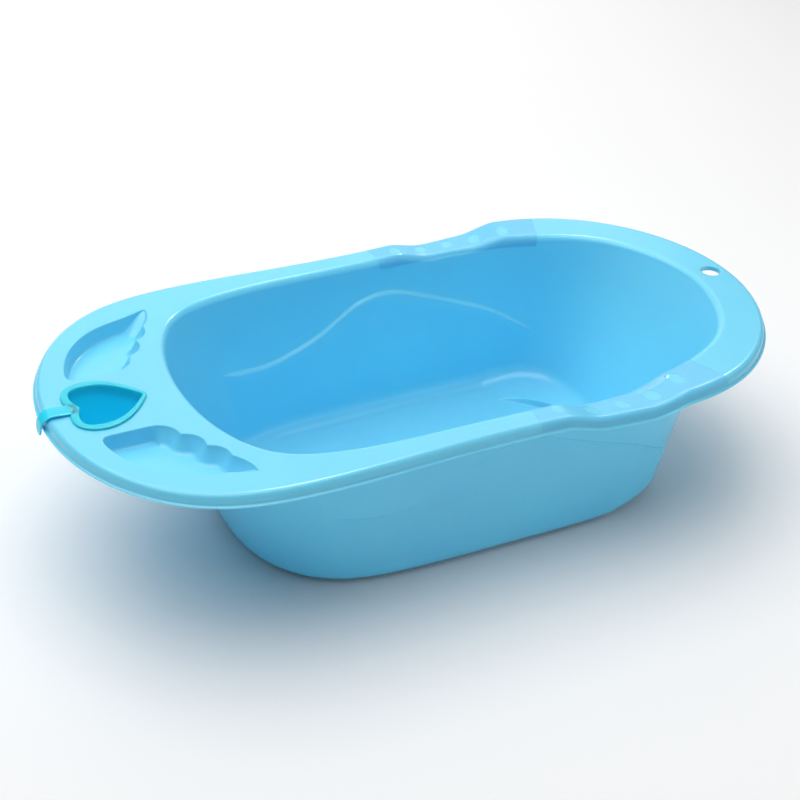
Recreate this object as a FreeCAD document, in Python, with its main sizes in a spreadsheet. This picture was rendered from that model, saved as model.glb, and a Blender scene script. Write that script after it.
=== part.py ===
import FreeCAD, Part
import math
import os

# A one-piece moulded baby bathtub with two soft side grips and a lift-out rinse ladle.
# Frame: millimetres, +Z up, origin under the middle of the tub on the surface it stands on.
# +X points to the head end, the foot end with the soap dishes and the ladle is at -X.

VECTOR = FreeCAD.Vector

# Driving dimensions in millimetres.
DIMENSIONS = [
    ("rim_height", 240.0),       # top face of the flange above the floor
    ("flange_skin", 3.0),        # thickness of the flange's top
    ("lip_depth", 16.0),         # height of the rolled lip
    ("lip_skin", 2.5),           # thickness of the lip
    ("lip_proud", 4.0),          # lip's outer face beyond the rim outline
    ("wall_skin", 3.0),          # basin wall and floor
    ("mouth_round", 11.0),       # height of the rounded edge between flange and basin
    ("base_round", 27.0),        # outer radius between wall and floor
    ("dip_depth", 11.5),         # drop of the rim at the two side grips
    ("dip_start", 76.0),
    ("dip_end", 262.0),
    ("dip_slope", 62.0),
    ("seat_start", 219.0),       # raised ledge round the head end of the floor
    ("seat_edge", 2.0),          # its height at the start
    ("seat_rise", 10.0),         # and at the end of its ramp
    ("seat_ramp", 57.0),
    ("seat_centre", 150.0),      # round low part in front of it
    ("seat_round", 148.0),
    ("dish_depth", 22.0),
    ("dish_skin", 2.5),
    ("dish_grow", 1.05),         # outside of a dish bowl over its inside
    ("well_depth", 14.0),        # collar round the heart opening
    ("well_inset", 8.0),         # heart opening inside the ladle's flange
    ("well_skin", 2.5),
    ("hang_x", 476.0),
    ("hang_radius", 14.0),
    ("hang_collar", 8.0),
    ("hang_skin", 2.5),
    ("grip_start", 46.0),
    ("grip_end", 318.0),
    ("grip_skin", 1.0),
    ("grip_inside", 15.0),       # how far a grip reaches down inside the mouth
    ("grip_split", 228.0),       # y between its part inside the mouth and its part over the lip
    ("zone_size", 80.0),         # width and height of the two blocks that bound a grip
    ("zone_drop", 50.0),         # how far the block over the lip reaches below the flange
    ("grip_step", 47.0),         # spacing of the five oval windows
    ("grip_middle", 172.0),      # middle one of the windows
    ("oval_across", 12.0),
    ("oval_along", 10.0),
    ("ladle_flange", 3.0),
    ("ladle_skin", 2.0),
    ("ladle_depth", 60.0),
    ("ladle_inset", 9.0),        # cup outside inside the ladle's flange outline
    ("ladle_draft", 4.0),        # how much the cup narrows to its bottom
    ("strap_width", 20.0),
    ("strap_skin", 3.0),
    ("strap_gap", 1.2),          # strap's clearance round the lip
    ("strap_drop", 22.0),        # how far the hook reaches below the flange
]

# Half outlines, from the foot end to the head end; the other half mirrors them in y.
RIM_HALF = [(-500, 0), (-470, 128), (-383, 220), (-250, 248), (-90, 245), (50, 246),
            (170, 255), (250, 258), (354, 233), (453, 148), (500, 0)]
MOUTH_HALF = [(-342, 0), (-326, 105), (-280, 178), (-190, 210), (-60, 217), (90, 221),
              (200, 220), (300, 198), (384, 152), (428, 88), (447, 0)]
BASE_HALF = [(-277, 0), (-256, 102), (-195, 163), (-90, 187), (60, 191), (170, 192),
             (233, 187), (273, 175), (300, 154), (313, 120), (317, 0)]

# Soap dish: smooth outer edge, then the corners between its four scallops.
DISH_EDGE = [(-311, 203), (-340, 192), (-378, 181), (-418, 155), (-440, 125), (-452, 95), (-455, 78)]
DISH_CORNER = [(-455, 78), (-453, 70), (-445, 67)]
DISH_SCALLOPS = [(-395, 67), (-368, 97), (-348, 131), (-328, 161), (-311, 203)]
SCALLOP_BULGE = [9.0, 10.0, 8.0, 5.0]

BLOCK = 300.0                    # half width that clears the whole rim


def make_sheet(document):
    sheet = document.addObject("Spreadsheet::Sheet", "dims")
    for row, (alias, value) in enumerate(DIMENSIONS, start=1):
        sheet.set("A%d" % row, alias)
        sheet.set("B%d" % row, "%g" % value)
        sheet.setAlias("B%d" % row, alias)
    document.recompute()
    return sheet


def closed_points(half):
    # The half outline followed by its mirror image, without repeating the two ends.
    return half + [(x, -y) for x, y in reversed(half[1:-1])]


def closed_spline(points, z=0.0):
    curve = Part.BSplineCurve()
    curve.interpolate([VECTOR(x, y, z) for x, y in points], PeriodicFlag=True)
    return curve


def offset_points(points, distance):
    # Each point moves outwards along the outline's own normal.
    curve = closed_spline(points)
    moved = []
    for x, y in points:
        along = curve.tangent(curve.parameter(VECTOR(x, y, 0)))[0]
        normal = VECTOR(along.y, -along.x, 0)
        if normal.x * x + normal.y * y < 0:
            normal = -normal
        moved.append((x + normal.x * distance, y + normal.y * distance))
    return moved


def flat_sketch(document, name, curves, height):
    # A horizontal sketch whose height follows an expression in the sheet.
    sketch = document.addObject("Sketcher::SketchObject", name)
    for curve in curves:
        sketch.addGeometry(curve, False)
    sketch.setExpression("Placement.Base.z", height)
    return sketch


def outline_sketch(document, name, points, height):
    return flat_sketch(document, name, [closed_spline(points)], height)


def extrusion(document, name, sketch, length, direction=VECTOR(0, 0, 1)):
    feature = document.addObject("Part::Extrusion", name)
    feature.Base = sketch
    feature.DirMode = "Custom"
    feature.Dir = direction
    feature.Solid = True
    if isinstance(length, str):
        feature.setExpression("LengthFwd", length)
    else:
        feature.LengthFwd = length
    return feature


def loft(document, name, sketches):
    feature = document.addObject("Part::Loft", name)
    feature.Sections = sketches
    feature.Solid = True
    feature.Ruled = True
    return feature


def boolean(document, kind, name, base, tool):
    feature = document.addObject("Part::" + kind, name)
    feature.Base = base
    feature.Tool = tool
    return feature


def joined(document, name, shapes):
    feature = document.addObject("Part::MultiFuse", name)
    feature.Shapes = shapes
    return feature


def dip_edge(sheet, height):
    # One long edge of the rim seen from the side, with its dip at the grips.
    level = sheet.rim_height + height
    low = level - sheet.dip_depth
    start, end, slope = sheet.dip_start, sheet.dip_end, sheet.dip_slope
    bends = [(start, level, start + slope, low), (end - slope, low, end, level)]
    edges = [Part.LineSegment(VECTOR(-2 * BLOCK, level, 0), VECTOR(start, level, 0))]
    for x0, z0, x1, z1 in bends:
        middle = (x0 + x1) / 2
        bend = Part.BezierCurve()
        bend.setPoles([VECTOR(x0, z0, 0), VECTOR(middle, z0, 0), VECTOR(middle, z1, 0), VECTOR(x1, z1, 0)])
        edges.append(bend.toBSpline())
    edges.insert(2, Part.LineSegment(VECTOR(start + slope, low, 0), VECTOR(end - slope, low, 0)))
    edges.append(Part.LineSegment(VECTOR(end, level, 0), VECTOR(2 * BLOCK, level, 0)))
    return edges


def side_band(document, sheet, name, top, bottom):
    # The band between two dipping edges, through the whole width of the tub.
    sketch = document.addObject("Sketcher::SketchObject", name + "_side")
    for edge in dip_edge(sheet, top) + dip_edge(sheet, bottom):
        sketch.addGeometry(edge, False)
    for x in (-2 * BLOCK, 2 * BLOCK):
        ends = [VECTOR(x, sheet.rim_height + z, 0) for z in (bottom, top)]
        sketch.addGeometry(Part.LineSegment(*ends), False)
    sketch.Placement = FreeCAD.Placement(VECTOR(0, BLOCK, 0), FreeCAD.Rotation(VECTOR(1, 0, 0), 90))
    return extrusion(document, name, sketch, 2 * BLOCK, VECTOR(0, -1, 0))


def rim_block(document, sheet, name, offset, top, bottom):
    # Everything inside an offset of the rim outline and between two dipping faces.
    points = offset_points(closed_points(RIM_HALF), offset)
    sketch = outline_sketch(document, name + "_outline", points, "dims.rim_height - 60")
    column = extrusion(document, name + "_column", sketch, 100.0)
    band = side_band(document, sheet, name + "_band", top, bottom)
    return boolean(document, "Common", name, column, band)


def mouth_loft(document, sheet, name, inset, floor_level, above):
    # A basin-shaped solid: flared mouth, straight walls and a sharp bottom corner.
    mouth = closed_points(MOUTH_HALF)
    base = closed_points(BASE_HALF)
    flare = sheet.mouth_round
    levels = [
        (offset_points(mouth, above - inset), "dims.rim_height + %g" % above),
        (offset_points(mouth, -flare - inset), "dims.rim_height - dims.mouth_round"),
        (offset_points(base, -inset), "%s" % floor_level),
    ]
    sketches = []
    for index, (points, height) in enumerate(levels):
        sketches.append(outline_sketch(document, "%s_level_%d" % (name, index), points, height))
    return loft(document, name, sketches)


def rounded_bottom(document, name, base, radius):
    # Rounds the lowest closed edge.
    document.recompute()
    lowest = min(edge.BoundBox.ZMax for edge in base.Shape.Edges)
    chosen = []
    for number, edge in enumerate(base.Shape.Edges, start=1):
        if edge.BoundBox.ZMax < lowest + 0.01:
            chosen.append((number, radius, radius))
    feature = document.addObject("Part::Fillet", name)
    feature.Base = base
    feature.Edges = chosen
    return feature


def arc_between(start, end, bulge, outside):
    # An arc through two corners that bulges away from the inside point.
    a, b = VECTOR(*start, 0), VECTOR(*end, 0)
    middle = (a + b) * 0.5
    chord = b - a
    normal = VECTOR(chord.y, -chord.x, 0).normalize()
    if (middle - outside).dot(normal) < 0:
        normal = -normal
    return Part.Arc(a, middle + normal * bulge, b)


def dish_curves(side, grow=1.0):
    centre = VECTOR(-390, 125, 0)

    def place(curve):
        shape = curve.toShape()
        shape.scale(grow, centre)
        if side < 0:
            shape = shape.mirror(VECTOR(0, 0, 0), VECTOR(0, 1, 0))
        return shape.toNurbs().Edges[0].Curve

    edge = Part.BSplineCurve()
    edge.interpolate([VECTOR(x, y, 0) for x, y in DISH_EDGE])
    corner = Part.BSplineCurve()
    corner.interpolate([VECTOR(x, y, 0) for x, y in DISH_CORNER])
    straight = Part.LineSegment(VECTOR(*DISH_CORNER[-1], 0), VECTOR(*DISH_SCALLOPS[0], 0))
    curves = [edge, corner, straight]
    for start, end, bulge in zip(DISH_SCALLOPS, DISH_SCALLOPS[1:], SCALLOP_BULGE):
        curves.append(arc_between(start, end, bulge, centre))
    return [place(curve) for curve in curves]


def heart_curves(inset):
    # A heart with its tip towards the basin and its notch towards the foot end.
    tip = (-375 - 0.9 * inset, 0)
    wide = (-443, 54.5 - inset)
    lobe = (-477 + inset, 24)
    notch = (-466 + 0.6 * inset, 0)
    spans = [
        [tip, (-392 - 0.6 * inset, 28 - 0.5 * inset), (-415, wide[1]), wide],
        [wide, (-463, wide[1]), (lobe[0], 42 - 0.6 * inset), lobe],
        [lobe, (lobe[0], 12 + 0.2 * inset), (lobe[0] + 4, 4 + 0.2 * inset), notch],
    ]
    curves = []
    for mirror in (1, -1):
        for span in spans:
            curve = Part.BezierCurve()
            curve.setPoles([VECTOR(x, mirror * y, 0) for x, y in span])
            curves.append(curve.toBSpline())
    return curves


def heart_prism(document, name, inset, start, length):
    sketch = flat_sketch(document, name + "_outline", heart_curves(inset), start)
    return extrusion(document, name, sketch, length)


def placed_box(document, name, size, corner):
    # Each size and corner coordinate is an expression.
    box = document.addObject("Part::Box", name)
    for property_name, text in zip(("Length", "Width", "Height"), size):
        box.setExpression(property_name, text)
    for axis, text in zip("xyz", corner):
        box.setExpression("Placement.Base." + axis, text)
    return box


def upright_cylinder(document, name, radius, height, x, z):
    cylinder = document.addObject("Part::Cylinder", name)
    cylinder.setExpression("Radius", radius)
    cylinder.setExpression("Height", height)
    cylinder.setExpression("Placement.Base.x", x)
    cylinder.setExpression("Placement.Base.z", z)
    return cylinder


def dish_prisms(document, sheet, side, word):
    inner = flat_sketch(document, "dish_inside_outline_" + word, dish_curves(side),
                        "dims.rim_height - dims.dish_depth")
    outer = flat_sketch(document, "dish_outside_outline_" + word, dish_curves(side, sheet.dish_grow),
                        "dims.rim_height - dims.dish_depth - dims.dish_skin")
    cavity = extrusion(document, "dish_inside_" + word, inner, "dims.dish_depth + 5")
    bowl = extrusion(document, "dish_outside_" + word, outer,
                     "dims.dish_depth + dims.dish_skin - dims.flange_skin / 2")
    return bowl, cavity


def seat_ledge(document, sheet, inside):
    # The floor rises towards the head end, outside a round low part.
    level = sheet.wall_skin
    top = level + sheet.seat_rise
    start, end = sheet.seat_start, sheet.seat_start + sheet.seat_ramp
    corners = [(start, level - 1), (start, level + sheet.seat_edge), (end, top), (end + 150, top),
               (end + 150, level - 1)]
    side = document.addObject("Sketcher::SketchObject", "seat_side")
    for (x0, z0), (x1, z1) in zip(corners, corners[1:] + corners[:1]):
        side.addGeometry(Part.LineSegment(VECTOR(x0, z0, 0), VECTOR(x1, z1, 0)), False)
    side.Placement = FreeCAD.Placement(VECTOR(0, BLOCK, 0), FreeCAD.Rotation(VECTOR(1, 0, 0), 90))
    ramp = extrusion(document, "seat_ramp_block", side, 2 * BLOCK, VECTOR(0, -1, 0))
    low = upright_cylinder(document, "seat_low_part", "dims.seat_round", "60", "dims.seat_centre", "-5")
    ledge = boolean(document, "Cut", "seat_outside_round", ramp, low)
    return boolean(document, "Common", "seat_ledge", ledge, inside)


def tub_shell(document, sheet):
    skin = sheet.flange_skin
    lip = sheet.lip_depth
    block = rim_block(document, sheet, "rim", sheet.lip_proud, 0.0, -lip)
    hollow = rim_block(document, sheet, "rim_hollow", sheet.lip_proud - sheet.lip_skin, -skin, -lip - 20)
    flange = boolean(document, "Cut", "flange", block, hollow)

    wall = sheet.wall_skin
    outside = mouth_loft(document, sheet, "basin_outside", -wall, 0.0, 0.0)
    basin = rounded_bottom(document, "basin_outside_rounded", outside, sheet.base_round)
    inside = mouth_loft(document, sheet, "basin_inside", 0.0, "dims.wall_skin", 1.0)
    inside = rounded_bottom(document, "basin_inside_rounded", inside, sheet.base_round - wall)
    bowls, cavities = [], []
    for side, word in ((1, "left"), (-1, "right")):
        bowl, cavity = dish_prisms(document, sheet, side, word)
        bowls.append(bowl)
        cavities.append(cavity)
    collar = heart_prism(document, "well_collar", sheet.well_inset - sheet.well_skin,
                         "dims.rim_height - dims.well_depth", "dims.well_depth - 1")
    opening = heart_prism(document, "well_opening", sheet.well_inset,
                          "dims.rim_height - dims.well_depth - 5", "dims.well_depth + 10")
    ring = upright_cylinder(document, "hang_ring", "dims.hang_radius + dims.hang_skin",
                            "dims.hang_collar - 1", "dims.hang_x", "dims.rim_height - dims.hang_collar")
    hole = upright_cylinder(document, "hang_hole", "dims.hang_radius", "dims.hang_collar + 10",
                            "dims.hang_x", "dims.rim_height - dims.hang_collar - 5")
    solid = joined(document, "tub_outside", [flange, basin, collar, ring] + bowls)
    above = side_band(document, sheet, "above_rim", 40.0, 0.0)
    voids = joined(document, "tub_voids", [inside, opening, hole, above] + cavities)
    hollowed = boolean(document, "Cut", "tub_hollowed", solid, voids)
    ledge = seat_ledge(document, sheet, inside)
    shell = joined(document, "tub_shell", [hollowed, ledge])
    shell.Label = "tub_shell"
    return shell, inside


def oval_window(document, sheet, name, x, y):
    oval = document.addObject("Part::Ellipse", name + "_edge")
    oval.setExpression("MajorRadius", "dims.oval_across")
    oval.setExpression("MinorRadius", "dims.oval_along")
    low = VECTOR(x, y, sheet.rim_height - 2 * sheet.dip_depth)
    oval.Placement = FreeCAD.Placement(low, FreeCAD.Rotation(VECTOR(0, 0, 1), 90))
    return extrusion(document, name, oval, 60.0)


def side_grip(document, sheet, rim_core, side, word):
    # A thin skin over the rim: outside of the lip, top of the flange, rounded mouth edge.
    name = "side_grip_" + word
    skin = sheet.grip_skin
    grown = rim_block(document, sheet, name + "_grown", sheet.lip_proud + skin, skin, -sheet.lip_depth)
    core = mouth_loft(document, sheet, name + "_mouth", skin, 0.0, 2.0)
    length = "dims.grip_end - dims.grip_start"
    size = (length, "dims.zone_size", "dims.zone_size")
    near, far = ("dims.grip_split", "dims.grip_split - dims.zone_size")
    if side < 0:
        near, far = ("-dims.grip_split - dims.zone_size", "-dims.grip_split")
    outer = placed_box(document, name + "_outer_zone", size,
                       ("dims.grip_start", near, "dims.rim_height - dims.zone_drop"))
    inner = placed_box(document, name + "_inner_zone", size,
                       ("dims.grip_start", far, "dims.rim_height - dims.grip_inside"))
    zone = joined(document, name + "_zone", [outer, inner])
    blank = boolean(document, "Common", name + "_blank", grown, zone)
    wrapped = boolean(document, "Cut", name + "_wrapped", blank, rim_core)
    opened = boolean(document, "Cut", name + "_opened", wrapped, core)
    windows = []
    for index in range(5):
        x = sheet.grip_middle + (index - 2) * sheet.grip_step
        windows.append(oval_window(document, sheet, "%s_window_%d" % (name, index), x, side * 236.0))
    cutter = joined(document, name + "_windows", windows)
    grip = boolean(document, "Cut", name, opened, cutter)
    grip.Label = name
    return grip


def strap_edges(sheet):
    # Side view of the ladle's strap: flat on the flange, round the lip and down.
    top = sheet.rim_height
    lip_face = -500 - sheet.lip_proud
    inner_x = lip_face - sheet.strap_gap
    outer_x = inner_x - sheet.strap_skin
    turn = 8.0
    low = top - sheet.strap_drop
    high = top + sheet.strap_skin
    root = -455.0
    corner = outer_x + turn
    swing = turn * (1 - math.sqrt(0.5))
    points = [VECTOR(root, top, 0), VECTOR(inner_x, top, 0), VECTOR(inner_x, low, 0), VECTOR(outer_x, low, 0),
              VECTOR(outer_x, high - turn, 0), VECTOR(corner, high, 0), VECTOR(root, high, 0)]
    edges = [Part.LineSegment(a, b) for a, b in zip(points[:4], points[1:5])]
    edges.append(Part.Arc(points[4], VECTOR(outer_x + swing, high - swing, 0), points[5]))
    edges.append(Part.LineSegment(points[5], points[6]))
    edges.append(Part.LineSegment(points[6], points[0]))
    return edges


def rinse_ladle(document, sheet):
    inset = sheet.ladle_inset
    skin = sheet.ladle_skin
    low = inset + sheet.ladle_draft
    flange = heart_prism(document, "ladle_flange_plate", 0.0, "dims.rim_height", "dims.ladle_flange")
    bottom = "dims.rim_height - dims.ladle_depth"
    outside = loft(document, "cup_outside", [
        flat_sketch(document, "cup_outside_low", heart_curves(low), bottom),
        flat_sketch(document, "cup_outside_high", heart_curves(inset), "dims.rim_height + 1"),
    ])
    inside = loft(document, "cup_inside", [
        flat_sketch(document, "cup_inside_low", heart_curves(low + skin),
                    bottom + " + dims.ladle_skin + 0.5"),
        flat_sketch(document, "cup_inside_high", heart_curves(inset + skin),
                    "dims.rim_height + dims.ladle_flange + 1"),
    ])
    sketch = document.addObject("Sketcher::SketchObject", "strap_side")
    for edge in strap_edges(sheet):
        sketch.addGeometry(edge, False)
    turn = FreeCAD.Rotation(VECTOR(1, 0, 0), 90)
    sketch.Placement = FreeCAD.Placement(VECTOR(0, sheet.strap_width / 2, 0), turn)
    strap = extrusion(document, "strap", sketch, "dims.strap_width", VECTOR(0, -1, 0))
    blank = joined(document, "ladle_blank", [flange, outside, strap])
    ladle = boolean(document, "Cut", "rinse_ladle", blank, inside)
    ladle.Label = "rinse_ladle"
    return ladle


def check(document, parts):
    for item in document.Objects:
        if "Invalid" in item.State or "Error" in item.State:
            raise RuntimeError("failed feature: " + item.Name)
    for part in parts:
        if part.Shape.isNull() or not part.Shape.isValid() or not part.Shape.Solids:
            raise RuntimeError("bad shape: " + part.Label)


def main():
    document = FreeCAD.newDocument("baby_bathtub")
    sheet = make_sheet(document)
    shell, inside = tub_shell(document, sheet)
    parts = [shell]
    full_rim = rim_block(document, sheet, "full_rim", sheet.lip_proud, 0.0, -59.0)
    rim_core = boolean(document, "Cut", "rim_core", full_rim, inside)
    for side, word in ((1, "left"), (-1, "right")):
        parts.append(side_grip(document, sheet, rim_core, side, word))
    parts.append(rinse_ladle(document, sheet))
    document.recompute()
    check(document, parts)
    os.makedirs("parts", exist_ok=True)
    for part in parts:
        part.Shape.exportStep("parts/%s.step" % part.Label)
        box = part.Shape.BoundBox
        print("%s: %d solid, %.0f mm3, x %.1f..%.1f, y %.1f..%.1f, z %.1f..%.1f" % (
            part.Label, len(part.Shape.Solids), part.Shape.Volume,
            box.XMin, box.XMax, box.YMin, box.YMax, box.ZMin, box.ZMax))


main()
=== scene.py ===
import math

import bmesh
import bpy
import numpy as np
from mathutils import Matrix, Vector
from mathutils.geometry import delaunay_2d_cdt
from mathutils.kdtree import KDTree

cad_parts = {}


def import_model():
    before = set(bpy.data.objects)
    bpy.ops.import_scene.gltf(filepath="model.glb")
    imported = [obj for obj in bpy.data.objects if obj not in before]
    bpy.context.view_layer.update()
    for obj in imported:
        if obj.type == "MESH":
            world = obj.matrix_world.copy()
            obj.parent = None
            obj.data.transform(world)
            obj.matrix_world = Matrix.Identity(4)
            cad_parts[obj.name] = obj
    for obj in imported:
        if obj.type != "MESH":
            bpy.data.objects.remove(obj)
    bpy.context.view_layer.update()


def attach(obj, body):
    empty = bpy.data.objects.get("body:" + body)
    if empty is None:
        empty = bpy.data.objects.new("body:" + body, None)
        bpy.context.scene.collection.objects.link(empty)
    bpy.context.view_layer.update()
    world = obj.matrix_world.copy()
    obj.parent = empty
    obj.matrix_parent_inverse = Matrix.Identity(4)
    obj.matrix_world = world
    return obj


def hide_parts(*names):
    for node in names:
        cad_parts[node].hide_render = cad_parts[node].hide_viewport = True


# Lengths are millimetres in the row frame: +Z up, +X towards the head end, z = 0 on the floor.
MM = 0.001
RIM_HEIGHT = 240.0
FLOOR_LEVEL = 3.0
MOUTH_ROUND = 11.0               # radius between the flange and the basin wall
BASE_ROUND = 24.0                # radius between the wall and the floor
WALL_SKIN = 3.0
TUB_SKIN = 2.5                   # thickness given to the tub's one surface
COLUMNS = 480                    # points round the basin
RIM_COLUMNS = 640                # points round the lip
CENTRE = np.array([30.0, 0.0])   # the basin's outlines are matched by angle about this point

# Half outlines from the foot end to the head end, mirrored in y.
RIM_HALF = [(-500, 0), (-470, 128), (-383, 220), (-250, 248), (-90, 245), (50, 246),
            (170, 255), (250, 258), (354, 233), (453, 148), (500, 0)]
MOUTH_HALF = [(-342, 0), (-326, 105), (-280, 178), (-190, 210), (-60, 217), (90, 221),
              (200, 220), (300, 198), (384, 152), (428, 88), (447, 0)]
BASE_HALF = [(-277, 0), (-256, 102), (-195, 163), (-90, 187), (60, 191), (170, 192),
             (233, 187), (273, 175), (300, 154), (313, 120), (317, 0)]

# The rim dips on both long sides, where the grips are.
DIP_DEPTH = 11.5
DIP_START = 78.0
DIP_END = 258.0
DIP_SLOPE = 62.0

# Section of the rolled lip: distance outside the rim outline, height below the flange.
LIP_ROUND = 8.0
LIP_INSET = 4.0                  # how far inside the rim outline the rounding starts
LIP_FOOT = [(4.4, -12.2), (4.8, -13.0), (5.7, -13.4), (6.8, -13.7), (7.5, -14.2), (7.6, -15.4)]
GRIP_LIP = 10.5                  # how far the grip reaches down the lip
GRIP_LIP_RUN = 4.4               # lip side below its rounding, over which the grip's edge is placed

# Stepped wave line on the two long walls: x, height relative to the flange.
WAVE = [(-240, -109), (-202, -118), (-146, -123), (-117, -118), (-85, -108), (-53, -95), (-4, -63), (12, -56),
        (37, -50), (61, -50), (78, -54), (111, -66), (212, -104), (245, -119), (302, -152), (340, -170)]
WAVE_START = -216.0
WAVE_END = 306.0
WAVE_STEP = 6.0
WAVE_GROWTH = 26.0               # lengths over which the step grows and fades
WAVE_FADE = 40.0
WAVE_SOFTENING = 5               # passes that ease the line
WAVE_SAMPLES = 4.0               # distance along x between the points eased
# Section of the step: share of the step inwards, height above the line.
STEP_SECTION = [(0.0, 2.0), (0.03, 0.9), (0.12, 0.3), (0.3, 0.0), (0.5, -0.3), (0.68, -0.8),
                (0.82, -1.6), (0.93, -2.8), (1.0, -4.6)]

# The floor rises towards the head end, outside a round low part.
SEAT_START = 219.0
SEAT_EDGE = 2.0
SEAT_RISE = 10.0
SEAT_RAMP = 57.0
SEAT_CENTRE = 150.0
SEAT_ROUND = 148.0
SEAT_RISER = 3.2                 # width of the riser round the low part
SEAT_BLEND = 8.0                 # and of the soft start at SEAT_START

# Soap dish outline on the left side of the tub.
DISH_EDGE = [(-311, 203), (-340, 192), (-378, 181), (-418, 155), (-440, 125), (-452, 95), (-455, 78),
             (-453, 70), (-445, 67)]
DISH_SCALLOPS = [(-395, 67), (-368, 97), (-348, 131), (-328, 161), (-311, 203)]
SCALLOP_BULGE = [9.0, 10.0, 8.0, 5.0]
DISH_CENTRE = (-390.0, 125.0)
DISH_TIP = (-311.0, 203.0)
DISH_DEPTH = 22.0
DISH_LEAN = 10.0                 # how far the scalloped wall slopes inwards at its foot
DISH_LEAN_BLEND = 14.0           # distance from the upright wall at which it slopes fully
DISH_EDGE_DEPTH = 2.0            # depth of the rounded top edge, and of the whole dish at its tip
DISH_RUN = 44.0                  # length over which the dish deepens from its tip
# Section of a dish: distance inside the outline, height above the flange.
DISH_SECTION = [(-1.6, 0.0), (-1.0, -0.15), (-0.4, -0.6), (-0.1, -1.2), (0.1, -2.0), (0.9, -10.0),
                (1.6, -17.4), (1.9, -18.8), (2.5, -20.1), (3.4, -21.1), (4.5, -21.8), (5.6, -22.0)]

HEART_OPENING = 8.0              # opening inside the ladle's outline
# Sections of the two holes in the flange: distance outside the opening, height above the flange.
HEART_EDGE = [(1.2, 0.0), (0.4, -0.3), (0.0, -1.2), (0.0, -7.0), (0.0, -12.0)]
HANG_EDGE = [(1.6, 0.0), (0.8, -0.2), (0.2, -0.8), (0.0, -1.6), (0.0, -4.0), (0.0, -7.0)]
HANG_X = 476.0
HANG_RADIUS = 14.0

GRIP_INNER = (45.0, 300.0)       # x of a grip's two ends at the mouth
GRIP_OUTER = (42.0, 318.0)       # and at the lip
GRIP_INSIDE = 15.0               # how far it reaches below the flange inside
GRIP_WINDOWS = (78.0, 125.0, 172.0, 219.0, 266.0)
WINDOW_ALONG = 10.0
WINDOW_ACROSS = 11.0
GRIP_HEIGHT = 0.25               # the grip's face above the tub's
GRIP_EDGE = 0.12                 # and at its edges
GRIP_BLEND = 1.5                 # distance from an edge to the full height
GRIP_SKIN = 1.0
GRIP_MIDDLE = 236.0              # y of the windows' middles
GRIP_TABLE = (121, 61)           # places along and across a grip at which its surface is worked out

# Section of the ladle: distance inside its heart outline, height.
LADLE_SECTION = [(0.3, 240.3), (0.0, 241.0), (0.0, 242.0), (0.5, 242.9), (1.5, 243.3), (8.2, 243.3),
                 (9.4, 243.1), (10.2, 242.5), (10.6, 241.5), (11.0, 238.0), (12.7, 213.0), (14.4, 188.5),
                 (14.9, 186.2), (16.4, 184.1), (18.6, 183.0), (21.0, 182.6)]
LADLE_SKIN = 1.5
# Strap from the heart's notch over the lip: x, height, half width.
STRAP = [(-464, 241.5, 11.5), (-474, 242.2, 10.8), (-486, 243.4, 10.3), (-496, 243.8, 10.2),
         (-503, 242.0, 10.1), (-508, 237.8, 10.2), (-510.6, 232.0, 10.2), (-511.6, 226.0, 9.6),
         (-511.8, 221.5, 7.6), (-511.6, 218.4, 4.0)]
STRAP_SKIN = 2.8

SHARP_ANGLE = math.radians(42)   # edges sharper than this stay crisp
FLOOR_HALF = 6.0                 # half width of the studio floor, metres


def smooth(value):
    """0 to 1 with an eased start and end."""
    t = np.clip(value, 0.0, 1.0)
    return t * t * (3 - 2 * t)


def unit(vectors):
    """Vectors scaled to length 1."""
    return vectors / np.linalg.norm(vectors, axis=-1, keepdims=True)


def spline(points, count, closed):
    """A cubic spline through the points, as count points evenly spaced along it."""
    p = np.array(points + points[:1] if closed else points, float)
    h = np.hypot(*np.diff(p, axis=0).T)
    n = len(p)
    matrix = np.eye(n)
    right = np.zeros((n, 2))
    slopes = np.diff(p, axis=0) / h[:, None]
    for i in range(1, n - 1):
        matrix[i, i - 1:i + 2] = h[i - 1], 2 * (h[i - 1] + h[i]), h[i]
        right[i] = 6 * (slopes[i] - slopes[i - 1])
    if closed:
        matrix[0, [0, 1, n - 2]] = 2 * (h[-1] + h[0]), h[0], h[-1]
        right[0] = 6 * (slopes[0] - slopes[-1])
        matrix[n - 1, 0] = -1
    bend = np.linalg.solve(matrix, right)
    fine = []
    for i in range(n - 1):
        a = np.linspace(0, h[i], 200, endpoint=False)[:, None]
        b = h[i] - a
        fine.append((bend[i] * b ** 3 + bend[i + 1] * a ** 3) / (6 * h[i])
                    + (p[i] / h[i] - bend[i] * h[i] / 6) * b + (p[i + 1] / h[i] - bend[i + 1] * h[i] / 6) * a)
    return spaced(np.concatenate(fine + [p[-1:]]), count, closed)


def spaced(points, count, closed):
    """count points evenly spaced along a polyline, whose last point repeats the first if it is closed."""
    along = np.concatenate([[0], np.cumsum(np.linalg.norm(np.diff(points, axis=0), axis=1))])
    wanted = np.linspace(0, along[-1], count, endpoint=not closed)
    return np.stack([np.interp(wanted, along, points[:, axis]) for axis in range(points.shape[1])], axis=1)


def outline(half, count):
    """count points round a closed outline whose half is given."""
    mirrored = [(x, -y) for x, y in reversed(half[1:-1])]
    return spline(half + mirrored, count, closed=True)


def outward(loop):
    """Outward normals of a closed plan loop."""
    along = unit(np.roll(loop, -1, axis=0) - np.roll(loop, 1, axis=0))
    normals = np.stack([-along[:, 1], along[:, 0]], axis=1)
    area = np.sum(loop[:, 0] * np.roll(loop[:, 1], -1) - loop[:, 1] * np.roll(loop[:, 0], -1))
    return -normals if area > 0 else normals


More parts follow.
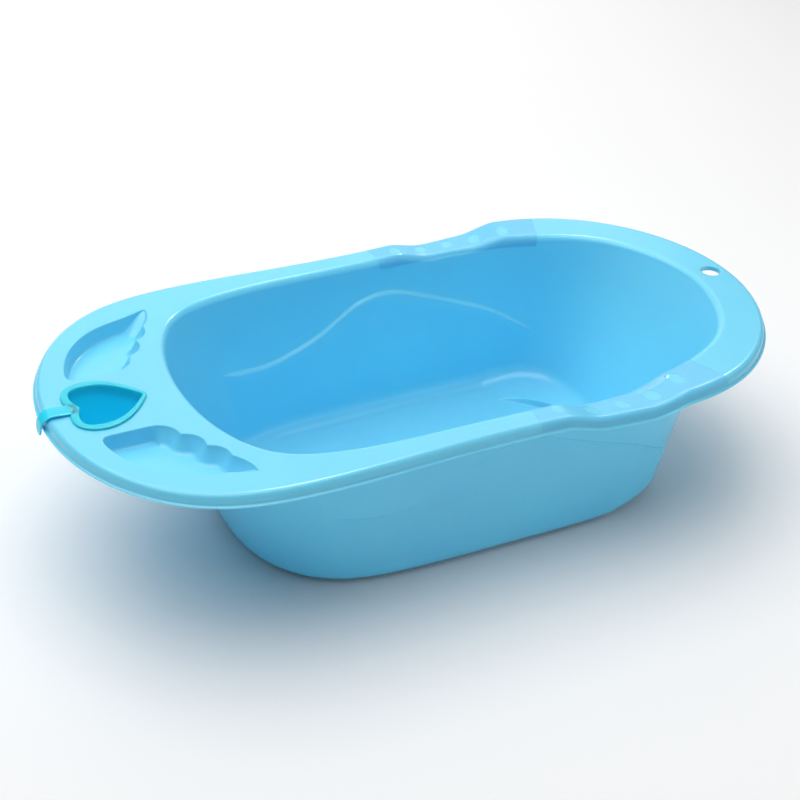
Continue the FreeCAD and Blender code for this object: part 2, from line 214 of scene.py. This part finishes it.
def inside(points, loop):
    """Whether each plan point lies inside a closed plan loop."""
    a = np.asarray(loop, float)[:, :2]
    b = np.roll(a, -1, axis=0)
    found = np.zeros(len(points), bool)
    for (ax, ay), (bx, by) in zip(a, b):
        if ay != by:
            crosses = (ay > points[:, 1]) != (by > points[:, 1])
            found ^= crosses & (points[:, 0] < ax + (points[:, 1] - ay) * (bx - ax) / (by - ay))
    return found


def softened(loop, passes):
    """A closed loop with its corners eased."""
    for _ in range(passes):
        loop = (np.roll(loop, 1, axis=0) + 2 * loop + np.roll(loop, -1, axis=0)) / 4
    return loop


def raised(loop, height):
    """A plan loop at this height, or at one height for each point."""
    return np.column_stack([loop, np.broadcast_to(height, len(loop))])


def plan_tree(points):
    """A search tree over plan points."""
    tree = KDTree(len(points))
    for i, (x, y) in enumerate(points):
        tree.insert((x, y, 0), i)
    tree.balance()
    return tree


def dip(x):
    """How far the rim lies below its full height at this x."""
    t = np.clip(np.minimum(x - DIP_START, DIP_END - x) / DIP_SLOPE, 0, 1)
    return DIP_DEPTH * np.sin(np.pi * t / 2) ** 1.5


def flange_height(x, _):
    """The flange's height, which is the same all across the tub."""
    return RIM_HEIGHT - dip(x)


def seat_share(x):
    """0 before the seat, 1 on it."""
    return smooth((x - SEAT_START) / SEAT_BLEND + 0.5)


def seat_rise(x):
    """How far the floor has risen at this x, outside the round low part."""
    return SEAT_EDGE + (SEAT_RISE - SEAT_EDGE) * np.clip((x - SEAT_START) / SEAT_RAMP, 0, 1)


def floor_height(x, y):
    """The basin floor's height, with the riser round the low part eased."""
    round_part = smooth((np.hypot(x - SEAT_CENTRE, y) - SEAT_ROUND) / SEAT_RISER + 0.5)
    return FLOOR_LEVEL + seat_rise(x) * round_part * seat_share(x)


def wave_height(x):
    """The height of the wave line at this x, its points eased."""
    samples = np.arange(WAVE[0][0], WAVE[-1][0] + 1.0, WAVE_SAMPLES)
    line = np.interp(samples, *np.array(WAVE, float).T)
    for _ in range(WAVE_SOFTENING):
        line[1:-1] = (line[:-2] + 2 * line[1:-1] + line[2:]) / 4
    return RIM_HEIGHT + np.interp(x, samples, line)


class Sheet:
    """One surface, collected as rows of points and the faces between them."""

    def __init__(self):
        self.points = []
        self.faces = []

    def row(self, points):
        first = len(self.points)
        self.points.extend(tuple(map(float, p)) for p in points)
        return list(range(first, len(self.points)))

    def bridge(self, a, b):
        for i in range(len(a)):
            j = (i + 1) % len(a)
            self.faces.append((a[i], a[j], b[j], b[i]))

    def rows(self, rows):
        """Bridges a list of closed rows and returns the first and last row's indices."""
        start = self.row(rows[0])
        last = start
        for points in rows[1:]:
            following = self.row(points)
            self.bridge(last, following)
            last = following
        return start, last

    def fill(self, loops, extra, height):
        """Triangles between closed rows, with extra plan points inside."""
        flat, known, edges = [], [], []
        for loop in loops:
            first = len(flat)
            for i, index in enumerate(loop):
                flat.append(Vector(self.points[index][:2]))
                known.append(index)
                edges.append((first + i, first + (i + 1) % len(loop)))
        flat.extend(Vector(p) for p in extra)
        places, _, faces, origins, _, _ = delaunay_2d_cdt(flat, edges, [], 1, 1e-4)
        middles = np.array([sum((places[v] for v in face), Vector((0, 0))) / len(face) for face in faces])
        within = sum(inside(middles, [self.points[i] for i in loop]).astype(int) for loop in loops)
        faces = [face for face, count in zip(faces, within) if count % 2 == 1]
        names = {}
        for vertex in range(len(places)):
            edge = [source for source in origins[vertex] if source < len(known)]
            if edge:
                names[vertex] = known[edge[0]]
        for face in faces:
            for vertex in face:
                if vertex not in names:
                    x, y = places[vertex]
                    names[vertex] = len(self.points)
                    self.points.append((x, y, float(height(x, y))))
            self.faces.append([names[vertex] for vertex in face])

    def object(self, name, skin, up):
        """The sheet as an object whose last face looks along up, with this skin thickness behind it."""
        mesh = bpy.data.meshes.new(name)
        mesh.from_pydata([Vector(p) * MM for p in self.points], [], self.faces)
        bm = bmesh.new()
        bm.from_mesh(mesh)
        bmesh.ops.recalc_face_normals(bm, faces=bm.faces)
        bm.faces.ensure_lookup_table()
        if bm.faces[-1].normal.dot(Vector(up)) < 0:
            bmesh.ops.reverse_faces(bm, faces=bm.faces)
        bm.to_mesh(mesh)
        bm.free()
        piece = bpy.data.objects.new(name, mesh)
        bpy.context.scene.collection.objects.link(piece)
        if skin:
            thicken(piece, skin)
        finish_surface(piece)
        return piece


def thicken(piece, skin):
    """Gives a sheet its thickness, behind the surface that is seen."""
    modifier = piece.modifiers.new("skin", "SOLIDIFY")
    modifier.thickness = skin * MM
    modifier.offset = -1
    modifier.use_even_offset = True
    modifier.thickness_clamp = 0
    bpy.context.view_layer.update()
    evaluated = piece.evaluated_get(bpy.context.evaluated_depsgraph_get())
    mesh = bpy.data.meshes.new_from_object(evaluated)
    piece.modifiers.clear()
    piece.data = mesh


def finish_surface(piece):
    """Smooth shading that keeps the sharp edges."""
    piece.data.shade_smooth()
    piece.data.set_sharp_from_angle(angle=SHARP_ANGLE)


def grid(loops, step, gap):
    """Plan points on a square grid, at least gap away from the loops."""
    points = np.concatenate([np.asarray(loop)[:, :2] for loop in loops])
    tree = plan_tree(points)
    low = np.floor(points.min(0) / step) * step
    high = points.max(0)
    kept = []
    for x in np.arange(low[0], high[0], step):
        for y in np.arange(low[1], high[1], step):
            if tree.find((x, y, 0))[2] > gap:
                kept.append((x, y))
    return kept


def ring(loop, distance):
    """Plan points this far outside a loop (negative: inside)."""
    plan = np.asarray(loop)[:, :2]
    return [tuple(p) for p in plan + outward(plan) * distance]


def fillet(corner, a, b, radius, steps):
    """Rows of the arc of this radius that touches the rays a and b from each corner."""
    half = np.arccos(np.clip(np.sum(a * b, axis=1), -1, 1)) / 2
    reach = (radius / np.tan(half))[:, None]
    centre = corner + unit(a + b) * (radius / np.sin(half))[:, None]
    start = corner + a * reach - centre
    end = corner + b * reach - centre
    turn = (math.pi - 2 * half)[:, None]
    rows = []
    for t in np.linspace(0, 1, steps + 1):
        rows.append(centre + (np.sin((1 - t) * turn) * start + np.sin(t * turn) * end) / np.sin(turn))
    return rows


def matched(loop, angles):
    """Points of a loop at these angles about the basin's centre."""
    from_centre = loop - CENTRE
    found = np.arctan2(from_centre[:, 1], from_centre[:, 0])
    order = np.argsort(found)
    reach = np.hypot(*from_centre.T)[order]
    reach = np.interp(angles, found[order], reach, period=2 * math.pi)
    return CENTRE + np.stack([np.cos(angles), np.sin(angles)], axis=1) * reach[:, None]


def basin_rows():
    """Rows from the flange's inner edge, round the mouth, down the walls and round onto the floor."""
    mouth = outline(MOUTH_HALF, COLUMNS)
    fine_mouth = outline(MOUTH_HALF, 6 * COLUMNS)
    fine_base = outline(BASE_HALF, 6 * COLUMNS)
    angles = np.arctan2(*(mouth - CENTRE).T[::-1])
    top = matched(fine_mouth - outward(fine_mouth) * MOUTH_ROUND, angles)
    base = matched(fine_base - outward(fine_base) * WALL_SKIN, angles)
    top_level = RIM_HEIGHT - MOUTH_ROUND
    low = raised(base, FLOOR_LEVEL)
    high = raised(top, top_level)
    rise = (high - low) / (top_level - FLOOR_LEVEL)
    climb = unit(rise)
    out = raised(outward(mouth), 0.0)
    inwards = -raised(outward(base), 0.0)

    def wall(level):
        return low + rise * (np.asarray(level) - FLOOR_LEVEL)[:, None]

    level = RIM_HEIGHT - dip(mouth[:, 0])
    rows = fillet(wall(level), out, -climb, MOUTH_ROUND, 8)
    middle = wall(np.full(COLUMNS, RIM_HEIGHT - 100.0))[:, 0]
    line = wave_height(middle)
    step = WAVE_STEP * smooth((middle - WAVE_START) / WAVE_GROWTH)
    step = step * smooth((WAVE_END - middle) / WAVE_FADE)
    head = rows[-1][:, 2]
    for t in np.linspace(0, 1, 6)[1:]:
        rows.append(wall(head + (line + STEP_SECTION[0][1] - head) * t))
    for share, height in STEP_SECTION[1:]:
        rows.append(wall(line + height) + inwards * (step * share)[:, None])
    corner_level = FLOOR_LEVEL + seat_rise(base[:, 0]) * seat_share(base[:, 0])
    foot = fillet(wall(corner_level), climb, inwards, BASE_ROUND, 8)
    last = line + STEP_SECTION[-1][1]
    for t in np.linspace(0, 1, 9)[1:-1]:
        rows.append(wall(last + (foot[0][:, 2] - last) * t) + inwards * (step * (1 - t))[:, None])
    return rows + foot


def lip_rows():
    """Rows from the flange's outer edge, round and down the lip to its small foot."""
    rim = outline(RIM_HALF, RIM_COLUMNS)
    out = outward(rim)
    section = []
    for angle in np.linspace(0, math.pi / 2, 7):
        across = LIP_ROUND * math.sin(angle) - LIP_INSET
        section.append((across, LIP_ROUND * math.cos(angle) - LIP_ROUND))
    rows = []
    for distance, height in section + LIP_FOOT:
        rows.append(raised(rim + out * distance, flange_height(rim[:, 0], 0) + height))
    return rows


def arc(start, end, bulge, away):
    """Points of an arc that bulges away from a point."""
    a, b = np.array(start, float), np.array(end, float)
    chord = b - a
    normal = np.array([chord[1], -chord[0]]) / np.hypot(*chord)
    if np.dot((a + b) / 2 - away, normal) < 0:
        normal = -normal
    half = np.hypot(*chord) / 2
    radius = (half ** 2 + bulge ** 2) / (2 * bulge)
    reach = math.asin(half / radius)
    centre = (a + b) / 2 - normal * (radius - bulge)
    along = chord / (2 * half)
    turns = np.linspace(-reach, reach, 24)[:, None]
    return centre + radius * (np.sin(turns) * along + np.cos(turns) * normal)


def dish_outline(side):
    """A dish's closed outline: side is 1 on the left and -1 on the right."""
    parts = [spline(DISH_EDGE, 160, closed=False)]
    for start, end, bulge in zip(DISH_SCALLOPS, DISH_SCALLOPS[1:], SCALLOP_BULGE):
        parts.append(arc(start, end, bulge, DISH_CENTRE))
    whole = np.concatenate(parts)
    loop = spaced(np.concatenate([whole, whole[:1]]), 210, closed=True)
    return softened(loop, 3) * (1, side)


def dish_hold(x, y):
    """Share of the full depth, which falls away towards the dish's tip."""
    return smooth(np.hypot(x - DISH_TIP[0], np.abs(y) - DISH_TIP[1]) / DISH_RUN)


def dish_floor(x, y):
    """The height of a dish's floor."""
    return RIM_HEIGHT - DISH_EDGE_DEPTH - (DISH_DEPTH - DISH_EDGE_DEPTH) * dish_hold(x, y)


def dish_rows(side):
    """Rows from a dish's top edge down to its floor."""
    loop = dish_outline(side)
    out = outward(loop)
    upright = spline(DISH_EDGE, 120, closed=False)
    straight = np.linspace(DISH_EDGE[-1], DISH_SCALLOPS[0], 20)
    upright = np.concatenate([upright, straight]) * (1, side)
    apart = np.array([np.min(np.hypot(*(upright - point).T)) for point in loop])
    lean = DISH_LEAN * smooth(apart / DISH_LEAN_BLEND)
    hold = dish_hold(loop[:, 0], loop[:, 1])
    rows = []
    for inset, height in DISH_SECTION:
        below = max(-height - DISH_EDGE_DEPTH, 0.0)
        inwards = inset + lean * below / DISH_DEPTH
        inwards = np.where(below > 0, inwards * hold, inwards)
        level = RIM_HEIGHT + max(height, -DISH_EDGE_DEPTH) - below * hold
        rows.append(raised(loop - out * inwards[:, None], level))
    return rows


def heart(inset):
    """The ladle's heart outline, its tip towards the basin."""
    tip = (-375 - 0.5 * inset, 0)
    wide = (-443, 54.5 - inset)
    lobe = (-477 + inset, 24)
    notch = (-466 + 0.6 * inset, 0)
    spans = [
        [tip, (-392 - 0.6 * inset, 28 - 0.5 * inset), (-415, wide[1]), wide],
        [wide, (-463, wide[1]), (lobe[0], 42 - 0.6 * inset), lobe],
        [lobe, (lobe[0], 12 + 0.2 * inset), (lobe[0] + 4, 4 + 0.2 * inset), notch],
    ]
    half = []
    for span, count in zip(spans, (24, 12, 12)):
        t = np.linspace(0, 1, count, endpoint=False)[:, None]
        weights = [(1 - t) ** 3, 3 * t * (1 - t) ** 2, 3 * t * t * (1 - t), t ** 3]
        half.append(sum(w * np.array(pole, float) for w, pole in zip(weights, span)))
    half = np.concatenate(half + [np.array([notch], float)])
    return softened(np.concatenate([half, half[-2:0:-1] * (1, -1)]), 2)


def circle(x, radius):
    """A plan circle about a point of the x axis."""
    turns = np.linspace(0, 2 * math.pi, 48, endpoint=False)
    return np.stack([x + radius * np.cos(turns), radius * np.sin(turns)], axis=1)


def build_tub(basin, lip):
    """The tub: basin, lip and dishes, with the flange filled in between them."""
    sheet = Sheet()
    mouth, floor = sheet.rows(basin)
    rim, _ = sheet.rows(lip)
    cuts = []
    for side in (1, -1):
        dish = dish_rows(side)
        edge, bottom = sheet.rows(dish)
        plan = [sheet.points[i] for i in bottom]
        sheet.fill([bottom], grid([plan], 5.0, 2.5), dish_floor)
        cuts.append(edge)
    opening = [raised(heart(HEART_OPENING - wider), RIM_HEIGHT + height) for wider, height in HEART_EDGE]
    cuts.append(sheet.rows(opening)[0])
    hole = [raised(circle(HANG_X, HANG_RADIUS + wider), RIM_HEIGHT + height) for wider, height in HANG_EDGE]
    cuts.append(sheet.rows(hole)[0])
    loops = [mouth, rim] + cuts
    plans = [np.array([sheet.points[i] for i in loop]) for loop in loops]
    extra = ring(plans[0], 2.5) + ring(plans[1], -2.5) + grid(plans, 4.0, 4.0)
    for plan in plans[2:]:
        extra += ring(plan, 2.2)
    sheet.fill(loops, extra, flange_height)
    plan = np.array([sheet.points[i] for i in floor])
    sheet.fill([floor], floor_points(plan), floor_height)
    return sheet.object("tub", TUB_SKIN, (0, 0, 1))


def floor_points(edge):
    """Plan points for the basin's floor, close together along the seat's riser."""
    riser = []
    turns = np.linspace(-math.pi / 2, math.pi / 2, 120)
    for distance in (-2.6, -1.6, -0.8, 0.0, 0.8, 1.6, 2.6):
        around = np.stack([np.cos(turns), np.sin(turns)], axis=1) * (SEAT_ROUND + distance)
        around[:, 0] += SEAT_CENTRE
        riser.append(around[around[:, 0] > SEAT_START - 4])
    for side in (1, -1):
        for distance in (-4.0, -2.0, 0.0, 2.0, 4.0):
            y = side * np.arange(136, 200, 3.0)
            riser.append(np.stack([np.full(len(y), SEAT_START + distance), y], axis=1))
    riser = np.concatenate(riser)
    out = outward(edge[:, :2])
    inner = edge[:, :2] - out * 3
    near = plan_tree(inner)
    kept = []
    for x, y in riser:
        _, i, _ = near.find((x, y, 0))
        if np.dot(np.array([x, y]) - inner[i], out[i]) < 0:
            kept.append((x, y))
    return kept + [tuple(p) for p in inner] + grid([edge[:, :2], riser], 11.0, 5.0)


def at_column(rows, index):
    """One profile through the rows at a fractional column."""
    whole = int(index)
    part = index - whole
    return np.array([row[whole] * (1 - part) + row[(whole + 1) % len(row)] * part for row in rows])


def grip_profile(basin, lip, share):
    """The tub's surface under a grip at one place along it, from inside the mouth over to the lip."""
    columns = []
    for rows, (start, end) in ((basin, GRIP_INNER), (lip, GRIP_OUTER)):
        edge = rows[0][:len(rows[0]) // 2, 0]
        columns.append(float(np.interp(start + (end - start) * share, edge, np.arange(len(edge)))))
    inner = at_column(basin[:12], columns[0])[::-1]
    level = RIM_HEIGHT - GRIP_INSIDE
    above = int(np.argmax(inner[:, 2] > level))
    t = (level - inner[above - 1, 2]) / (inner[above, 2] - inner[above - 1, 2])
    cut = inner[above - 1] + (inner[above] - inner[above - 1]) * t
    outer = at_column(lip[:7], columns[1])
    foot = at_column(lip[7:8], columns[1])[0]
    share_below = (GRIP_LIP - LIP_ROUND) / GRIP_LIP_RUN
    below = outer[-1] + (foot - outer[-1]) * share_below
    flat = [inner[-1] + (outer[0] - inner[-1]) * t for t in np.linspace(0, 1, 14)[1:-1]]
    flat = [(x, y, flange_height(x, y)) for x, y, _ in flat]
    return np.concatenate([[cut], inner[above:], flat, outer, [below]])


def ellipse(centre, radii, count):
    """count plan points round an ellipse."""
    turns = np.linspace(0, 2 * math.pi, count, endpoint=False)
    return np.stack([centre[0] + radii[0] * np.cos(turns), centre[1] + radii[1] * np.sin(turns)], axis=1)


def grip_surface(basin, lip):
    """A table of the tub's surface under a grip: along it, and across it."""
    places, across = GRIP_TABLE
    profiles = [grip_profile(basin, lip, share) for share in np.linspace(0, 1, places)]
    return np.array([spaced(profile, across, closed=False) for profile in profiles])


def grip_edge(length, width):
    """The outline of a grip laid flat, its corners eased."""
    edge = [(x, 0.0) for x in np.arange(0, length, 1.5)]
    edge += [(length, y) for y in np.linspace(0, width, 45, endpoint=False)]
    edge += [(x, width) for x in np.arange(length, 0, -1.5)]
    edge += [(0.0, y) for y in np.linspace(width, 0, 45, endpoint=False)]
    return softened(np.array(edge), 2)


def build_grip(name, basin, lip, side):
    """A grip, made flat with its windows and laid onto the tub: side is 1 on the left, -1 on the right."""
    surface = grip_surface(basin, lip)
    middle = surface[len(surface) // 2]
    length = GRIP_OUTER[1] - GRIP_OUTER[0]
    width = float(np.linalg.norm(np.diff(middle, axis=0), axis=1).sum())
    along = unit(np.gradient(surface, axis=0))
    across = unit(np.gradient(surface, axis=1))
    normals = unit(np.cross(along, across))
    if normals[len(surface) // 2, len(middle) // 2, 2] < 0:
        normals = -normals
    edge = grip_edge(length, width)
    flat = np.argmin(np.abs(middle[:, 1] - GRIP_MIDDLE)) / (len(middle) - 1) * width
    holes = []
    for x in GRIP_WINDOWS:
        holes.append(ellipse((x - GRIP_OUTER[0], flat), (WINDOW_ALONG, WINDOW_ACROSS), 56))
    loops = [edge] + holes
    extra = []
    for distance in (0.6, 1.3, 2.2):
        extra += ring(edge, -distance)
        for hole in holes:
            extra += ring(hole, distance)
    border = plan_tree(np.concatenate(loops))
    plan = Sheet()
    rows = [plan.row(raised(loop, 0.0)) for loop in loops]
    plan.fill(rows, extra + grid(loops, 2.4, 3.0), lambda x, y: 0.0)
    size = (length, width)
    points = []
    for point in plan.points:
        x, y, z = placed(point, size, surface, normals, border)
        points.append((x, y * side, z))
    plan.points = points
    return plan.object(name, GRIP_SKIN, (0, 0, 1))


def placed(point, size, surface, normals, border):
    """A flat grip point on the tub's surface, raised away from the grip's edges."""
    u = min(max(point[0] / size[0], 0), 1) * (len(surface) - 1)
    v = min(max(point[1] / size[1], 0), 1) * (surface.shape[1] - 1)
    i, j = min(int(u), len(surface) - 2), min(int(v), surface.shape[1] - 2)
    a, b = u - i, v - j
    weights = (((1 - a) * (1 - b), i, j), (a * (1 - b), i + 1, j),
               ((1 - a) * b, i, j + 1), (a * b, i + 1, j + 1))
    base = sum(w * surface[p, q] for w, p, q in weights)
    normal = sum(w * normals[p, q] for w, p, q in weights)
    from_edge = border.find((point[0], point[1], 0))[2]
    height = GRIP_EDGE + (GRIP_HEIGHT - GRIP_EDGE) * float(smooth(from_edge / GRIP_BLEND))
    return base + normal * height


def build_ladle():
    """The rinse ladle: heart flange, cup and strap in one piece."""
    cup = Sheet()
    _, bottom = cup.rows([raised(heart(inset), height) for inset, height in LADLE_SECTION])
    plan = [cup.points[i] for i in bottom]
    cup.fill([bottom], grid([plan], 6.0, 2.5), lambda x, y: LADLE_SECTION[-1][1])
    piece = cup.object("ladle", LADLE_SKIN, (0, 0, 1))
    strap = build_strap()
    bm = bmesh.new()
    bm.from_mesh(piece.data)
    bm.from_mesh(strap.data)
    bm.to_mesh(piece.data)
    bm.free()
    bpy.data.objects.remove(strap)
    return piece


def build_strap():
    """The ladle's strap, a rounded bar swept along its path."""
    path = spaced(spline_path(np.array(STRAP, float)), 46, closed=False)
    along = unit(np.gradient(path[:, :2], axis=0))
    sheet = Sheet()
    turns = np.linspace(0, 2 * math.pi, 28, endpoint=False)
    side = np.sign(np.cos(turns)) * np.abs(np.cos(turns)) ** 0.35
    face = np.sign(np.sin(turns)) * np.abs(np.sin(turns)) ** 0.6
    rows = []
    for (x, z, half), (dx, dz) in zip(path, along):
        offset = face * STRAP_SKIN / 2
        rows.append(np.stack([x + dz * offset, side * half, z - dx * offset], axis=1))
    first, last = sheet.rows(rows)
    sheet.faces.append(tuple(reversed(first)))
    sheet.faces.append(tuple(last))
    return sheet.object("strap", 0, (0, 0, -1))


def spline_path(points):
    """A smooth polyline through x, z points that carries their half widths along."""
    curve = spline([tuple(p[:2]) for p in points], 300, closed=False)
    along = np.concatenate([[0], np.cumsum(np.hypot(*np.diff(points[:, :2], axis=0).T))])
    width = np.interp(np.linspace(0, along[-1], 300), along, points[:, 2])
    return np.column_stack([curve, width])


def shader(name):
    """A new material, its node tree and its surface node."""
    material = bpy.data.materials.new(name)
    material.use_nodes = True
    tree = material.node_tree
    return material, tree, tree.nodes["Principled BSDF"]


def noise(tree, scale, detail):
    """Noise fixed to the object."""
    coordinates = tree.nodes.new("ShaderNodeTexCoord")
    texture = tree.nodes.new("ShaderNodeTexNoise")
    texture.inputs["Scale"].default_value = scale
    texture.inputs["Detail"].default_value = detail
    tree.links.new(coordinates.outputs["Object"], texture.inputs["Vector"])
    return texture.outputs["Fac"]


def ramp(tree, value, low, high):
    """The noise's middle range spread from low to high."""
    node = tree.nodes.new("ShaderNodeMapRange")
    node.inputs["From Min"].default_value = 0.3
    node.inputs["From Max"].default_value = 0.7
    node.inputs["To Min"].default_value = low
    node.inputs["To Max"].default_value = high
    tree.links.new(value, node.inputs["Value"])
    return node.outputs["Result"]


def moulded(name, colour, roughness, glow, grain):
    """Moulded plastic: slightly uneven colour and gloss, light passing a little way in, and a fine grain."""
    material, tree, surface = shader(name)
    mix = tree.nodes.new("ShaderNodeMix")
    mix.data_type = "RGBA"
    mix.inputs["A"].default_value = (*[c * 0.95 for c in colour], 1)
    mix.inputs["B"].default_value = (*colour, 1)
    tree.links.new(ramp(tree, noise(tree, 5.0, 3.0), 0.0, 1.0), mix.inputs["Factor"])
    tree.links.new(mix.outputs["Result"], surface.inputs["Base Color"])
    gloss = ramp(tree, noise(tree, 22.0, 4.0), roughness * 0.9, roughness * 1.15)
    tree.links.new(gloss, surface.inputs["Roughness"])
    surface.inputs["Subsurface Weight"].default_value = glow
    surface.inputs["Subsurface Radius"].default_value = (0.3, 0.8, 0.85)
    surface.inputs["Subsurface Scale"].default_value = 0.008
    surface.inputs["IOR"].default_value = 1.49
    bump = tree.nodes.new("ShaderNodeBump")
    bump.inputs["Strength"].default_value = grain
    bump.inputs["Distance"].default_value = 0.0004
    tree.links.new(noise(tree, 700.0, 2.0), bump.inputs["Height"])
    tree.links.new(bump.outputs["Normal"], surface.inputs["Normal"])
    return material


def give(piece, material, body, node):
    """Gives a piece its material, ties it to its body and hides the CAD node that it stands in for."""
    piece.data.materials.clear()
    piece.data.materials.append(material)
    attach(piece, body)
    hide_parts(node)


def build_stage():
    """A plain pale floor that the tub stands on."""
    half = FLOOR_HALF
    mesh = bpy.data.meshes.new("floor")
    corners = [(-half, -half, 0), (half, -half, 0), (half, half, 0), (-half, half, 0)]
    mesh.from_pydata(corners, [], [(0, 1, 2, 3)])
    floor = bpy.data.objects.new("floor", mesh)
    bpy.context.scene.collection.objects.link(floor)
    material, tree, surface = shader("pale_floor")
    mix = tree.nodes.new("ShaderNodeMix")
    mix.data_type = "RGBA"
    mix.inputs["A"].default_value = (0.92, 0.92, 0.92, 1)
    mix.inputs["B"].default_value = (0.94, 0.94, 0.94, 1)
    tree.links.new(noise(tree, 1.5, 2.0), mix.inputs["Factor"])
    tree.links.new(mix.outputs["Result"], surface.inputs["Base Color"])
    surface.inputs["Roughness"].default_value = 0.9
    mesh.materials.append(material)


def light(name, kind, energy, colour, place, target, size):
    """A lamp that looks from its place at its target, in metres: size is a panel's side or a sun's angle."""
    data = bpy.data.lights.new(name, kind)
    data.energy = energy
    data.color = colour
    if kind == "AREA":
        data.size = size
    else:
        data.angle = size
    lamp = bpy.data.objects.new(name, data)
    lamp.location = place
    lamp.rotation_euler = (Vector(target) - Vector(place)).to_track_quat("-Z", "Y").to_euler()
    bpy.context.scene.collection.objects.link(lamp)
    return lamp


def build_world():
    """Plain white behind the tub, and a dimmer even light from it."""
    world = bpy.data.worlds.new("studio")
    world.use_nodes = True
    tree = world.node_tree
    path = tree.nodes.new("ShaderNodeLightPath")
    strength = tree.nodes.new("ShaderNodeMapRange")
    strength.inputs["To Min"].default_value = 0.17
    strength.inputs["To Max"].default_value = 0.82
    tree.links.new(path.outputs["Is Camera Ray"], strength.inputs["Value"])
    tree.links.new(strength.outputs["Result"], tree.nodes["Background"].inputs["Strength"])
    tree.nodes["Background"].inputs["Color"].default_value = (1, 1, 1, 1)
    bpy.context.scene.world = world


def build_lights():
    """Soft light from above, behind and the front right, and two small lights seen only in reflections."""
    white = (1.0, 1.0, 1.0)
    light("sky", "SUN", 1.2, white, (-0.45, 0.3, 2.2), (0, 0, 0), 1.2)
    light("overhead", "AREA", 26.0, white, (-0.45, 0.2, 2.2), (0, 0, 0.1), 2.4)
    light("back_panel", "AREA", 26.0, white, (0.6, 2.3, 1.7), (0, 0, 0.2), 3.0)
    light("front_panel", "AREA", 11.0, white, (2.2, -2.0, 1.6), (0, 0, 0.1), 2.0)
    for name, place in (("sparkle", (1.1, 1.6, 3.0)), ("second_sparkle", (2.4, 1.9, 2.6))):
        sparkle = light(name, "SUN", 0.45, (1.0, 0.96, 0.90), place, (0, 0, 0), 0.05)
        sparkle.visible_diffuse = False


def build_camera():
    """The camera looks along +Y turned towards +X, down onto the tub."""
    turn, fall, roll = 0.492, 0.574, 0.05
    distance = 1.8997
    aim = Vector((-0.0943, -0.1324, 0.240))
    look = Vector((math.sin(turn) * math.cos(fall), math.cos(turn) * math.cos(fall), -math.sin(fall)))
    level = Vector((math.cos(turn), -math.sin(turn), 0))
    rise = level.cross(look)
    right = level * math.cos(roll) + rise * math.sin(roll)
    up = rise * math.cos(roll) - level * math.sin(roll)
    data = bpy.data.cameras.new("camera")
    data.sensor_width = 36.0
    data.lens = 69.12
    camera = bpy.data.objects.new("camera", data)
    turned = Matrix((right, up, -look)).transposed().to_4x4()
    camera.matrix_world = Matrix.Translation(aim - look * distance) @ turned
    bpy.context.scene.collection.objects.link(camera)
    bpy.context.scene.camera = camera


def main():
    """Builds the tub's pieces over the CAD frame, the studio and the camera."""
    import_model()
    basin = basin_rows()
    lip = lip_rows()
    bpy.context.scene.view_settings.view_transform = "Standard"
    tub_plastic = moulded("tub_plastic", (0.19, 0.685, 0.98), roughness=0.22, glow=0.5, grain=0.05)
    grip_rubber = moulded("grip_rubber", (0.14, 0.63, 0.98), roughness=0.34, glow=0.2, grain=0.08)
    ladle_plastic = moulded("ladle_plastic", (0.02, 0.69, 1.0), roughness=0.22, glow=0.7, grain=0.05)
    give(build_tub(basin, lip), tub_plastic, "tub", "tub_shell")
    for word, side in (("left", 1), ("right", -1)):
        grip = build_grip("grip_" + word, basin, lip, side)
        give(grip, grip_rubber, "tub", "side_grip_" + word)
    give(build_ladle(), ladle_plastic, "ladle", "rinse_ladle")
    build_stage()
    build_world()
    build_lights()
    build_camera()


main()
